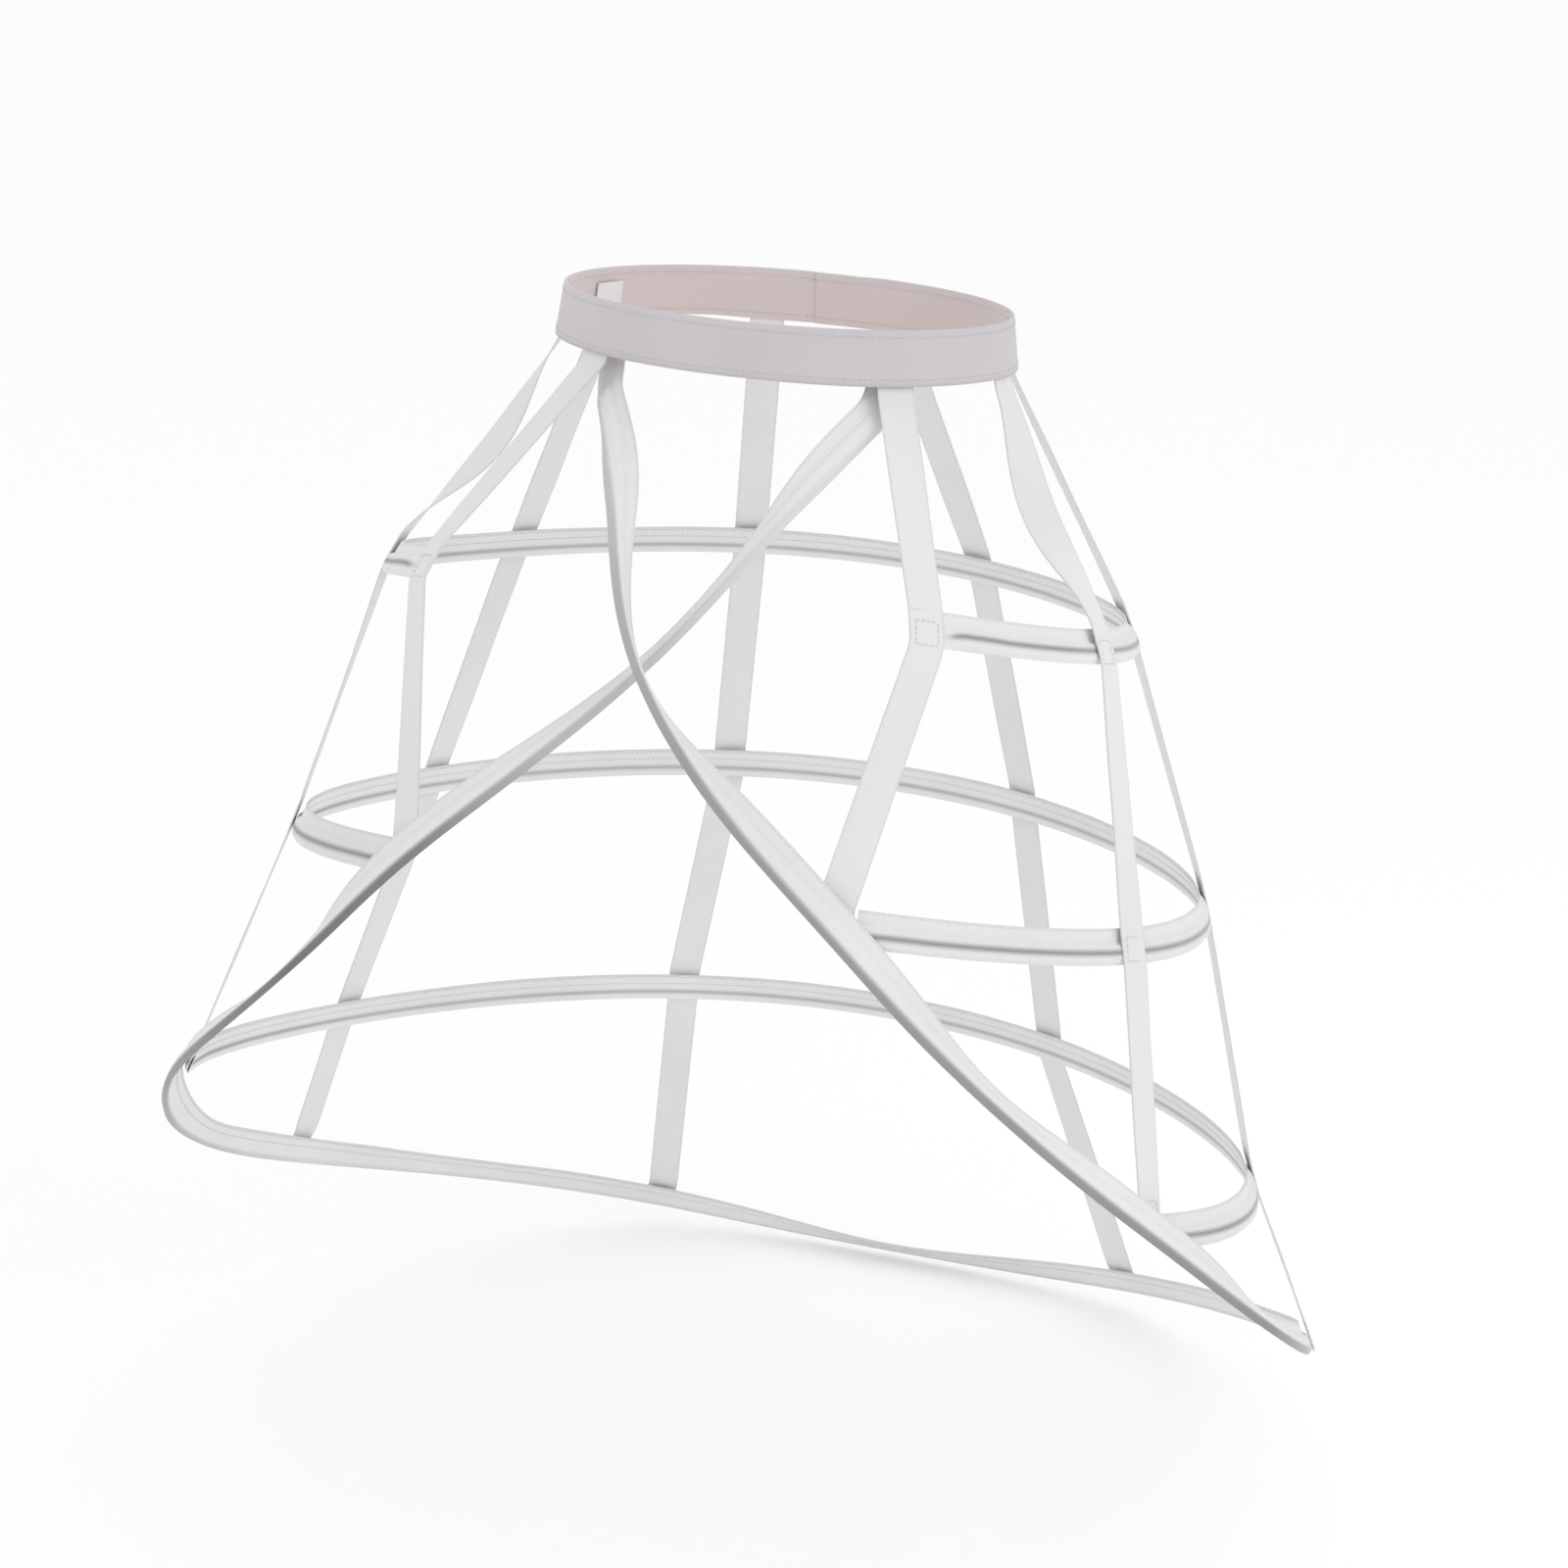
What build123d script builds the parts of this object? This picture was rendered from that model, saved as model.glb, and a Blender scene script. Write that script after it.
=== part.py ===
from build123d import *
import math
import os

# Waistband: a woven band sewn into an oval ring, a little wider at its lower edge
waist_half_width = 133.0
waist_half_depth = 97.0
band_height = 30.0
band_flare = 4.5
band_thickness = 2.0
band_lap = 24.0

# Tapes: flat ribbon straps sewn inside the band and outside the hoops
tape_width = 20.0
tape_thickness = 0.8
tape_lap = 22.0

# Casings: ribbon folded over, with a channel for the bone along its lower part
casing_width = 20.0
casing_layer = 0.5
channel_slope = 1.5
channel_share = 0.7

# Bones: flat spring strips, each end capped by a tip
bone_width = 6.0
bone_thickness = 1.5
tip_wall = 0.4
tip_length = 12.0
bone_clearance = 0.2

# Gaps between layers that are sewn together, and the room that a cut needs
layer_gap = 0.2
crimp_gap = 0.05
overrun = 5.0

# Hoops: circles seen from above, lowest at the back and rising towards the front
upper_radius = 212.0
upper_forward = 17.0
upper_drop = 160.0
upper_rise = 72.0
middle_spread = 52.0
middle_forward = 9.0
middle_rise = 84.0
lower_spread = 47.0
lower_forward = 39.0
lower_rise = 138.0
hoop_spacing = 164.0
hoop_end_lap = 12.0
flat_end = 20.0
flat_taper = 8.0

# Crossing loop: from the band over the front crossing, and round the back as the hem
crossing_reach = 207.0
crossing_drop = 130.0
arm_bow = 8.0
arm_middle_share = 0.5
junction_gap = 3.9
loop_forward = 25.0
hem_spread = 94.0
hem_fall = 212.0

# Angles in degrees round the body, from the right side towards the back
front_angles = (-49.0, -48.5, -63.0)
front_side_angles = (-7.0, -12.0, -21.5, -24.5)
back_side_angles = (22.0, 27.5, 22.0, 20.0)
back_angles = (72.0, 69.5, 68.0, 66.0)
front_gap_angle = -44.0
hem_front_angle = -7.0
hem_side_angle = 18.0
hem_back_angle = 65.0
back_angle = 90.0

# Reach and drop along the loop, as shares of the hem's
front_gap_shares = (0.695, 0.478)
hem_front_shares = (0.837, 0.721)
hem_side_shares = (0.870, 0.831)
hem_back_shares = (1.0, 0.982)
hem_middle_shares = (0.949, 1.0)

# Roll of the loop's ribbon between the places where it is sewn flat, in degrees, the front arm's first
arm_rolls = (105.0, 78.0)
crossing_rolls = (110.0, 66.0)
front_gap_roll = 58.0
hem_front_roll = 50.0
hem_quarter_roll = 30.0
hem_middle_roll = 55.0

# How far the loop stays flat to each side of a place where it is sewn
sewn_reach = 34.0

# How the tape above and the tape below share in the lean of a casing
upper_lean_share = 0.6

section_step = 36.0
span_sections = 12
band_sections = 60
tape_step = 75.0

# Sizes that follow from the ones above
middle_radius = upper_radius + middle_spread
lower_radius = middle_radius + lower_spread
hem_reach = lower_radius + hem_spread
middle_drop = upper_drop + hoop_spacing
lower_drop = middle_drop + hoop_spacing
hem_drop = lower_drop + hem_fall
channel_half_width = bone_width / 2 + tip_wall + bone_clearance
channel_half_depth = bone_thickness / 2 + tip_wall + bone_clearance
ridge = channel_half_depth + casing_layer
ridge_half_width = channel_half_width + casing_layer
flange_up = casing_width * channel_share
flange_down = casing_width - flange_up
flat_top = 2 * casing_layer - ridge
tape_over_ridge = ridge + layer_gap + tape_thickness / 2
tape_over_end = flat_top + layer_gap + tape_thickness / 2
loop_over_end = tape_over_end + tape_thickness / 2 + junction_gap + ridge
up = Vector(0, 0, 1)


def turn(degrees, reach):
    """The flat direction at an angle round the body, times a reach."""
    return Vector(math.cos(math.radians(degrees)), math.sin(math.radians(degrees)), 0) * reach


def square_to(direction, line):
    """The part of a direction that stands square to a line."""
    return (direction - line * direction.dot(line)).normalized()


def mirrored(vector):
    return Vector(-vector.X, vector.Y, vector.Z)


class Hoop:
    """An open ring: its bone line, the tapes that cross it and the angle where it ends."""

    def __init__(self, name, radius, forward, drop, rise, level, first_tape):
        self.name = name
        self.radius = radius
        self.centre = Vector(0, -forward, 0)
        self.drop = drop
        self.rise = rise
        self.level = level
        self.first_tape = first_tape
        self.leans = []

    def point(self, degrees):
        share = (1 - math.sin(math.radians(degrees))) / 2
        return self.centre + turn(degrees, self.radius) + up * (self.rise * share**2 - self.drop)

    def along(self, degrees):
        tilt = math.radians(degrees)
        climb = -self.rise * math.cos(tilt) * (1 - math.sin(tilt)) / 2
        return (turn(degrees + 90, self.radius) + up * climb).normalized()

    def lean(self, degrees):
        """The casing's lean, read between the tapes that cross it."""
        side = degrees if degrees <= 90 else 180 - degrees
        before = self.leans[0]
        for after in self.leans:
            if side <= after[0]:
                break
            before = after
        if after[0] == before[0] or side >= after[0]:
            return after[1] if side >= after[0] else before[1]
        share = (side - before[0]) / (after[0] - before[0])
        return before[1] + (after[1] - before[1]) * share

    def frame(self, degrees):
        """The bone line's place, the casing's upward direction and its outward one."""
        line = self.along(degrees)
        lean = self.lean(degrees)
        out = square_to(turn(degrees, math.cos(lean)) + up * math.sin(lean), line)
        return self.point(degrees), out.cross(line), out


upper_hoop = Hoop("upper_hoop", upper_radius, upper_forward, upper_drop, upper_rise, 1, 0)
middle_hoop = Hoop("middle_hoop", middle_radius, middle_forward, middle_drop, middle_rise, 2, 0)
lower_hoop = Hoop("lower_hoop", lower_radius, lower_forward, lower_drop, lower_rise, 3, 1)
hoops = (upper_hoop, middle_hoop, lower_hoop)


def band_frame(degrees, inset):
    """A place on the band's lower edge, inset from its outer face, with the band's directions."""
    x = math.cos(math.radians(degrees))
    y = math.sin(math.radians(degrees))
    edge = Vector(waist_half_width * x, waist_half_depth * y, 0)
    level_out = Vector(x / waist_half_width, y / waist_half_depth, 0).normalized()
    upward = (up * band_height - level_out * band_flare).normalized()
    out = square_to(level_out, upward)
    return edge - out * inset, upward, out


def band_sag(degrees, half_width):
    """How far the band curves away from a flat strip of that half width sewn inside it."""
    across = waist_half_width * math.sin(math.radians(degrees))
    deep = waist_half_depth * math.cos(math.radians(degrees))
    radius = math.hypot(across, deep)**3 / (waist_half_width * waist_half_depth)
    return half_width**2 / (2 * (radius - band_flare - band_thickness))


def tape_inset(degrees):
    """The depth of a tape's middle layer behind the band's outer face."""
    return band_thickness + layer_gap + band_sag(degrees, tape_width / 2) + tape_thickness / 2


def loop_point(degrees, shares):
    reach, drop = shares
    return Vector(0, -loop_forward, 0) + turn(degrees, reach * hem_reach) - up * (drop * hem_drop)


hem_side = loop_point(hem_side_angle, hem_side_shares)
hem_back = loop_point(hem_back_angle, hem_back_shares)


class Tape:
    """A strap: its angle on the band and on each hoop, and the place on the hem where it ends."""

    def __init__(self, name, angles, hem_end):
        self.name = name
        self.angles = angles
        self.hem_end = hem_end

    def places(self):
        spots = [band_frame(self.angles[0], band_thickness)[0]]
        for hoop, degrees in zip(hoops, self.angles[1:]):
            spots.append(hoop.point(degrees))
        if self.hem_end is not None:
            spots.append(self.hem_end)
        return spots


tapes = (
    Tape("front_tape", front_angles, None),
    Tape("front_side_tape", front_side_angles, None),
    Tape("back_side_tape", back_side_angles, hem_side),
    Tape("back_tape", back_angles, hem_back),
)


def set_leans():
    """Each casing leans with the tapes above and below it."""
    for hoop in hoops:
        for tape in tapes[hoop.first_tape:]:
            spots = tape.places()
            here = spots[hoop.level]
            rise = (spots[hoop.level - 1] - here).normalized()
            if hoop.level + 1 < len(spots):
                fall = (spots[hoop.level + 1] - here).normalized()
                rise = rise * upper_lean_share - fall * (1 - upper_lean_share)
            degrees = tape.angles[hoop.level]
            inward = -rise.dot(turn(degrees, 1))
            hoop.leans.append((degrees, math.atan2(inward, rise.Z)))


set_leans()


def strip(frames, outlines):
    """A solid through outlines drawn in the upward and outward directions of a row of frames."""
    wires = []
    for (spot, upward, out), outline in zip(frames, outlines):
        corners = [spot + upward * u + out * v for u, v in outline]
        wires.append(Wire.make_polygon(corners, close=True))
    return Solid.make_loft(wires, ruled=True)


def box_outline(low, high, half_depth):
    return [(low, -half_depth), (high, -half_depth), (high, half_depth), (low, half_depth)]


def casing_outline(swell):
    """The ribbon's section: a flat back, a flange above, and the ridge over the channel."""
    return [(-flange_down, -ridge), (flange_up, -ridge), (flange_up, flat_top),
            (ridge_half_width + channel_slope, flat_top), (ridge_half_width, swell),
            (-ridge_half_width, swell), (-flange_down, flat_top)]


full_casing = casing_outline(ridge)
flat_casing = casing_outline(flat_top)
channel = box_outline(-channel_half_width, channel_half_width, channel_half_depth)
tape_outline = box_outline(-tape_width / 2, tape_width / 2, tape_thickness / 2)
bone = box_outline(-bone_width / 2, bone_width / 2, bone_thickness / 2)
tip_cap = box_outline(-bone_width / 2 - tip_wall, bone_width / 2 + tip_wall,
                      bone_thickness / 2 + tip_wall)
tip_socket = box_outline(-bone_width / 2 - crimp_gap, bone_width / 2 + crimp_gap,
                         bone_thickness / 2 + crimp_gap)


def steps(start, end, size):
    count = math.ceil(abs(end - start) / size)
    return [start + (end - start) * i / count for i in range(count + 1)]


def spans(row):
    """A long row cut into even runs, each starting where the one before it ends."""
    last = len(row) - 1
    count = math.ceil(last / span_sections)
    ends = [last * i // count for i in range(count + 1)]
    return [row[first:second + 1] for first, second in zip(ends, ends[1:])]


def fused(solids):
    whole = solids[0]
    for solid in solids[1:]:
        whole = whole + solid
    return whole


def boned(name, frame_at, knots, per_mm, flat_rows):
    """Writes a casing, the bone in it and the tips on the bone.

    The frame function gives the bone line's frames, per_mm is its step for a millimetre, and the
    knots are the places that sections pass through, from the first to the last of the ridge.
    Each flat row runs from the ridge out over a sewn end.
    """
    start = knots[0]
    end = knots[-1]
    past = overrun * per_mm
    short = (tip_wall + bone_clearance) * per_mm
    near = short + tip_length / 2 * per_mm
    far = short + tip_length * per_mm
    inner = [start + near, start + far]
    for before, after in zip([start + far] + knots[1:-1], knots[1:-1] + [end - far]):
        inner += steps(before, after, section_step * per_mm)[1:]
    inner.append(end - near)
    casing_row = [frame_at(place) for place in [start] + inner + [end]]
    channel_row = [frame_at(place) for place in [start - past] + inner + [end + past]]
    bone_row = [frame_at(place) for place in [start + short] + inner + [end - short]]
    pieces = []
    for casing_span, channel_span in zip(spans(casing_row), spans(channel_row)):
        body = strip(casing_span, [full_casing] * len(casing_span))
        pieces.append(body - strip(channel_span, [channel] * len(channel_span)))
    for row in flat_rows:
        pieces.append(strip(row, [full_casing] + [flat_casing] * (len(row) - 1)))
    write(name + "_casing", [fused(pieces)])
    write(name + "_bone", [fused([strip(row, [bone] * len(row)) for row in spans(bone_row)])])
    write(name + "_tips", [tip(frame_at, start + short, per_mm), tip(frame_at, end - short, -per_mm)])


def tip(frame_at, place, inward):
    """A cap pressed over a bone's end, bent with the bone."""
    cap_reaches = (-tip_wall, tip_length / 2, tip_length)
    socket_reaches = (-crimp_gap, tip_length / 2, tip_length, tip_length + overrun)
    cap_row = [frame_at(place + reach * inward) for reach in cap_reaches]
    socket_row = [frame_at(place + reach * inward) for reach in socket_reaches]
    socket = strip(socket_row, [tip_socket] * len(socket_row))
    return strip(cap_row, [tip_cap] * len(cap_row)) - socket


def write(name, solids):
    shape = solids[0] if len(solids) == 1 else Compound(children=solids)
    shape.label = name
    export_step(shape, os.path.join("parts", name + ".step"))


def build_hoop(hoop):
    per_mm = math.degrees(1 / hoop.radius)
    tape_angle = tapes[hoop.first_tape].angles[hoop.level]
    ridge_start = tape_angle + flat_end * per_mm
    taper_end = ridge_start - flat_taper * per_mm
    sewn_end = tape_angle - hoop_end_lap * per_mm
    right = [hoop.frame(a) for a in (ridge_start, taper_end, sewn_end)]
    left = [hoop.frame(180 - a) for a in (ridge_start, taper_end, sewn_end)]
    boned(hoop.name, hoop.frame, [ridge_start, 180 - ridge_start], per_mm, [right, left])


# The loop's bone line: the right half from the band's left over the crossing, then the left half back
loop_inset = tape_inset(front_angles[0]) + tape_thickness / 2 + junction_gap + flat_top
band_spot, band_up, band_out = band_frame(front_angles[0], loop_inset)
band_exit = band_spot - band_up * (loop_inset + junction_gap)
crossing = Vector(0, -crossing_reach, -crossing_drop)
roll_reach = max(abs(math.sin(math.radians(roll))) for roll in crossing_rolls)
crossing_half_gap = casing_width * roll_reach / 2 + ridge + junction_gap
crossing_front = crossing - Vector(0, crossing_half_gap, 0)
crossing_behind = crossing + Vector(0, crossing_half_gap, 0)
middle_end = middle_hoop.frame(front_angles[2])
lower_end = lower_hoop.frame(front_side_angles[3])
loop_half = [
    middle_end[0] + middle_end[2] * loop_over_end,
    loop_point(front_gap_angle, front_gap_shares),
    lower_end[0] + lower_end[2] * loop_over_end,
    loop_point(hem_front_angle, hem_front_shares),
    hem_side,
    hem_back,
]
hem_middle = loop_point(back_angle, hem_middle_shares)
arm_middle = band_exit + (crossing - band_exit) * arm_middle_share - Vector(0, arm_bow, 0)
loop_spots = [mirrored(band_exit), mirrored(arm_middle), crossing_front] + loop_half + [hem_middle]
loop_spots += [mirrored(spot) for spot in reversed(loop_half)] + [crossing_behind, arm_middle, band_exit]
loop_line = Edge.make_spline(loop_spots)
loop_turns = [loop_line.param_at_point(spot) for spot in loop_spots]


def loop_base(t):
    """A place on the loop's bone line, with its direction and the level directions out and up."""
    spot = loop_line.position_at(t)
    line = loop_line.tangent_at(t)
    away = Vector(spot.X, spot.Y + loop_forward, 0).normalized()
    out = square_to(away, line)
    return spot, line, out, out.cross(line)


def sewn_roll(t, flat_out):
    """The roll that lays the loop's ribbon flat on a piece that it is sewn to."""
    spot, line, out, upward = loop_base(t)
    return math.degrees(math.atan2(flat_out.dot(upward), flat_out.dot(out)))


def tape_out(tape, level_degrees):
    """The outward direction of a tape's last run, down to the hem."""
    spots = tape.places()
    return square_to(turn(level_degrees, 1), (spots[-2] - spots[-1]).normalized())


def loop_rolls():
    """The roll of the ribbon at places along the loop, the left side as the right one mirrored."""
    flat = {
        0: band_out,
        3: middle_end[2],
        5: lower_end[2],
        7: tape_out(tapes[2], hem_side_angle),
        8: tape_out(tapes[3], hem_back_angle),
    }
    arms = {1: arm_rolls, 2: crossing_rolls}
    free = {4: front_gap_roll, 6: hem_front_roll, 9: hem_middle_roll}
    last = len(loop_spots) - 1
    rows = []
    for i, t in enumerate(loop_turns):
        place = min(i, last - i)
        if place in arms:
            rows.append((t, arms[place][0 if i == place else 1]))
            continue
        if place in free:
            rows.append((t, free[place]))
            continue
        on_left = (i == place) == (place == 0)
        roll = sewn_roll(t, mirrored(flat[place]) if on_left else flat[place])
        hold = sewn_reach / loop_line.length
        rows += [(t - hold, roll), (t + hold, roll)]
    for i in (7, last - 8):
        rows.append(((loop_turns[i] + loop_turns[i + 1]) / 2, hem_quarter_roll))
    return sorted(rows)


rolls = loop_rolls()


def loop_frame(t):
    """The bone line's place, the ribbon's upward direction and its outward one."""
    spot, line, out, upward = loop_base(t)
    before = rolls[0]
    for after in rolls[1:]:
        if t <= after[0]:
            break
        before = after
    share = min(1, max(0, (t - before[0]) / (after[0] - before[0])))
    share = (1 - math.cos(math.pi * share)) / 2
    roll = math.radians(before[1] + (after[1] - before[1]) * share)
    rolled = out * math.cos(roll) + upward * math.sin(roll)
    return spot, rolled.cross(line), rolled


def build_loop():
    per_mm = 1 / loop_line.length
    ridge_start = flat_end * per_mm
    taper = flat_taper * per_mm
    rows = []
    for side, end in ((1, 0), (-1, 1)):
        flip = mirrored if side == 1 else Vector
        spot, upward, out = flip(band_spot), flip(band_up), flip(band_out)
        across = out.cross(upward) * -side
        row = [loop_frame(end + side * ridge_start), loop_frame(end + side * (ridge_start - taper))]
        bend = loop_frame(end)
        row.append((bend[0], across, (out + bend[2]).normalized()))
        row.append((spot + upward * tape_lap, across, out))
        rows.append(row)
    knots = [ridge_start] + loop_turns[1:-1] + [1 - ridge_start]
    boned("crossing_loop", loop_frame, knots, per_mm, rows)


def tape_frames(tape):
    """The corners of a tape's run: on the band, at both edges of each casing, and on the hem."""
    inset = tape_inset(tape.angles[0])
    spot, upward, out = band_frame(tape.angles[0], inset)
    across = upward.cross(out)
    spots = [spot + upward * tape_lap, spot - upward * (inset + layer_gap)]
    acrosses = [across, across]
    outs = [out, out]
    crossings = []
    for hoop, degrees in zip(hoops, tape.angles[1:]):
        ends_here = hoop.first_tape == tapes.index(tape)
        crossings.append((hoop.frame(degrees), hoop.along(degrees),
                          tape_over_end if ends_here else tape_over_ridge))
    if tape.hem_end is not None:
        t = loop_line.param_at_point(tape.hem_end)
        crossings.append((loop_frame(t), loop_line.tangent_at(t), tape_over_ridge))
    for (spot, upward, out), along, lift in crossings:
        spots += [spot + upward * (flange_up + layer_gap) + out * lift, spot - upward * flange_down + out * lift]
        acrosses += [along, along]
        outs += [out, out]
    frames = []
    for i, spot in enumerate(spots):
        run = spots[min(i + 1, len(spots) - 1)] - spots[max(i - 1, 0)]
        square = run.normalized().cross(acrosses[i]).normalized()
        frames.append((spot, acrosses[i], square if square.dot(outs[i]) > 0 else square * -1))
    return divided(frames)


def divided(frames):
    """The frames with others between them, so that the twist of each long run is spread along it."""
    row = [frames[0]]
    for before, after in zip(frames, frames[1:]):
        count = math.ceil((after[0] - before[0]).length / tape_step)
        for i in range(1, count + 1):
            share = i / count
            spot, upward, out = (old + (new - old) * share for old, new in zip(before, after))
            row.append((spot, upward.normalized(), out.normalized()))
    return row


def folded_strip(frames):
    """A flat strap through a row of frames, its twisted runs creased alike on both faces."""
    rows = []
    for spot, upward, out in frames:
        rows.append([spot + upward * u + out * v for u, v in tape_outline])
    faces = [Face(Wire.make_polygon(row, close=True)) for row in (rows[0], rows[-1])]
    for row, following in zip(rows, rows[1:]):
        for i, j, crease_first in ((0, 1, True), (1, 2, True), (2, 3, False), (3, 0, False)):
            if crease_first:
                corners = ((row[i], row[j], following[j]), (row[i], following[j], following[i]))
            else:
                corners = ((row[i], row[j], following[i]), (row[j], following[j], following[i]))
            faces += [Face(Wire.make_polygon(three, close=True)) for three in corners]
    return Solid(Shell(faces))


def build_tapes():
    for tape in tapes:
        right = folded_strip(tape_frames(tape))
        write(tape.name + "_right", [right])
        write(tape.name + "_left", [right.mirror(Plane.YZ)])


def build_waistband():
    """The band goes once round the oval, and its inner end laps behind its outer one at the back."""
    lap = math.degrees(band_lap / waist_half_width)
    slant = math.hypot(band_height, band_flare)
    half = band_thickness / 2
    outline = box_outline(0, slant, half)
    start = back_angle - lap / 2
    end = start + 360 + lap
    ramp_end = end - lap
    ramp_start = ramp_end - lap / 2
    inner = band_thickness + layer_gap
    frames = [band_frame(a, half) for a in steps(start, ramp_start, 360 / band_sections)]
    frames += [band_frame(a, half + inner) for a in steps(ramp_end, end, lap)]
    write("waistband", [strip(frames, [outline] * len(frames))])


os.makedirs("parts", exist_ok=True)
build_waistband()
build_tapes()
for hoop in hoops:
    build_hoop(hoop)
build_loop()
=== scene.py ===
# %% [markdown]
# # A crinoline cage
#
# The real object is a light skirt frame: a woven waistband, eight flat tapes that hang from it,
# three open hoops and one long loop that crosses over at the front and sweeps round the back as
# the hem. Hoops and loop are springy bones in folded ribbon. The CAD model gives every piece its
# place and size, so this lesson only dresses it: each strip of cloth is laid along its CAD solid,
# sewn, coloured and lit.

# %% Load the CAD frame
import math
import bpy
import numpy as np
from mathutils import Matrix, Vector


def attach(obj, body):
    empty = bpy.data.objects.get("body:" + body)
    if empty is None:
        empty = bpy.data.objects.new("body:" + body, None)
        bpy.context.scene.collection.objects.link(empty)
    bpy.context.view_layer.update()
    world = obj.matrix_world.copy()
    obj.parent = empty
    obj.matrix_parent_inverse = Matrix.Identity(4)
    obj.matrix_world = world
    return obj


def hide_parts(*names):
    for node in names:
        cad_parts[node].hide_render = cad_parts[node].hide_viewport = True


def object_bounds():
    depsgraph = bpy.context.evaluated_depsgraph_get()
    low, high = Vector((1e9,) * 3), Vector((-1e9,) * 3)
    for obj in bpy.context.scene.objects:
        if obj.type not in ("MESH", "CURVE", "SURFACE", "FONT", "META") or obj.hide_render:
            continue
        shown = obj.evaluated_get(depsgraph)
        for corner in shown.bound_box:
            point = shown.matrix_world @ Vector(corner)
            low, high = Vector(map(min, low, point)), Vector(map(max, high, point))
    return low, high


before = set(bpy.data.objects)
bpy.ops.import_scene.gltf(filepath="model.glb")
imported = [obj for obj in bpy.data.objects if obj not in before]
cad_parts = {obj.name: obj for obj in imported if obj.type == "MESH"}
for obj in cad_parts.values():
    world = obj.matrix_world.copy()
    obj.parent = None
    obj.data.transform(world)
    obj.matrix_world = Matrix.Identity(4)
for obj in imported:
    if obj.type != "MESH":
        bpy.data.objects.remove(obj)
cad_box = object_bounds()
print("CAD nodes:", len(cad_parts))

# %% [markdown]
# ## Camera
#
# The photograph looks down a little on the front of the cage, from its right, with the camera
# tilted a few degrees. A camera could be aimed with a Track To constraint, but that can't hold the
# tilt, so the three directions of the camera are worked out from its angles and written straight
# into its matrix.

# %% Work out where the camera stands
MM = 0.001
AZIMUTH, ELEVATION, TILT = (math.radians(angle) for angle in (17.39, 17.27, 3.07))
DISTANCE = 2000 * MM
SIDE_STEP, UP_STEP = -0.5 * MM, -243.2 * MM

level_right = Vector((math.cos(AZIMUTH), math.sin(AZIMUTH), 0))
ahead = Vector((-math.sin(AZIMUTH) * math.cos(ELEVATION),
                math.cos(AZIMUTH) * math.cos(ELEVATION), -math.sin(ELEVATION)))
level_up = level_right.cross(ahead)
right = level_right * math.cos(TILT) + level_up * math.sin(TILT)
upright = level_up * math.cos(TILT) - level_right * math.sin(TILT)
eye = right * SIDE_STEP + upright * UP_STEP - ahead * DISTANCE
print("camera stands at", [round(value, 3) for value in eye])

# %% Set up the camera
SENSOR_WIDTH = 36
FOCAL_SHARE = 3650 / 1600  # focal length over picture width, both in pixels

bpy.ops.object.select_all(action="DESELECT")
bpy.ops.object.camera_add()
camera = bpy.context.object
camera.data.sensor_width = SENSOR_WIDTH
camera.data.lens = SENSOR_WIDTH * FOCAL_SHARE
turned = Matrix((right, upright, -ahead)).transposed().to_4x4()
turned.translation = eye
camera.matrix_world = turned
bpy.context.scene.camera = camera
print("camera lens", round(camera.data.lens, 1), "mm")

# %% [markdown]
# ## Floor and light
#
# The photograph is a bright, almost shadowless studio picture. A white surround lights the cage
# from all sides, one large soft lamp from the upper right gives the band and tapes a lighter side,
# and a pale floor lies just under the hem. A backdrop curved up behind the cage would do as well,
# but one wide plane is simpler, and its far edge is as white as the surround.

# %% Lay the floor
FLOOR_GAP = 4 * MM
FLOOR_SIZE = 60
FLOOR_COLOUR = (0.97, 0.97, 0.97, 1)


def look(name, **settings):
    """A new material and its main shader node, with that node's constants set."""
    made = bpy.data.materials.new(name)
    made.use_nodes = True
    shader = made.node_tree.nodes["Principled BSDF"]
    for label, value in settings.items():
        shader.inputs[label.replace("_", " ")].default_value = value
    return made, shader


bpy.ops.object.select_all(action="DESELECT")
bpy.ops.mesh.primitive_plane_add(size=FLOOR_SIZE, location=(0, 0, cad_box[0][2] - FLOOR_GAP))
floor = bpy.context.object
floor.name = "floor"
paper, _ = look("pale_floor", Base_Color=FLOOR_COLOUR, Roughness=0.9, Specular_IOR_Level=0.1)
floor.data.materials.append(paper)
print("floor at", round(floor.location.z, 4))

# %% Light the scene
SURROUND_COLOUR, SURROUND_STRENGTH = (1, 1, 1, 1), 1.0
LAMP_PLACE, LAMP_AIM = (2.2, -0.8, 1.2), Vector((0, 0, -0.35))
LAMP_SIZE, LAMP_POWER = 1.6, 8

world = bpy.context.scene.world or bpy.data.worlds.new("studio")
bpy.context.scene.world = world
world.use_nodes = True
surround = world.node_tree.nodes["Background"]
surround.inputs["Color"].default_value = SURROUND_COLOUR
surround.inputs["Strength"].default_value = SURROUND_STRENGTH
bpy.context.scene.view_settings.view_transform = "Standard"

bpy.ops.object.select_all(action="DESELECT")
bpy.ops.object.light_add(type="AREA", location=LAMP_PLACE)
lamp = bpy.context.object
lamp.data.size = LAMP_SIZE
lamp.data.energy = LAMP_POWER
lamp.rotation_euler = (LAMP_AIM - lamp.location).to_track_quat("-Z", "Y").to_euler()
print("lamp", lamp.data.energy, "W")

# %% [markdown]
# ## Reading a strip
#
# Every strip of the CAD model, whether tape, band or bone, is a long body with four corner lines.
# Cloth that is laid along those lines sits exactly where the solid is. The corner lines are the
# sharp edges of the solid: an end has corners where three sharp edges meet, and each line runs
# from one such corner to another.

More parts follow.
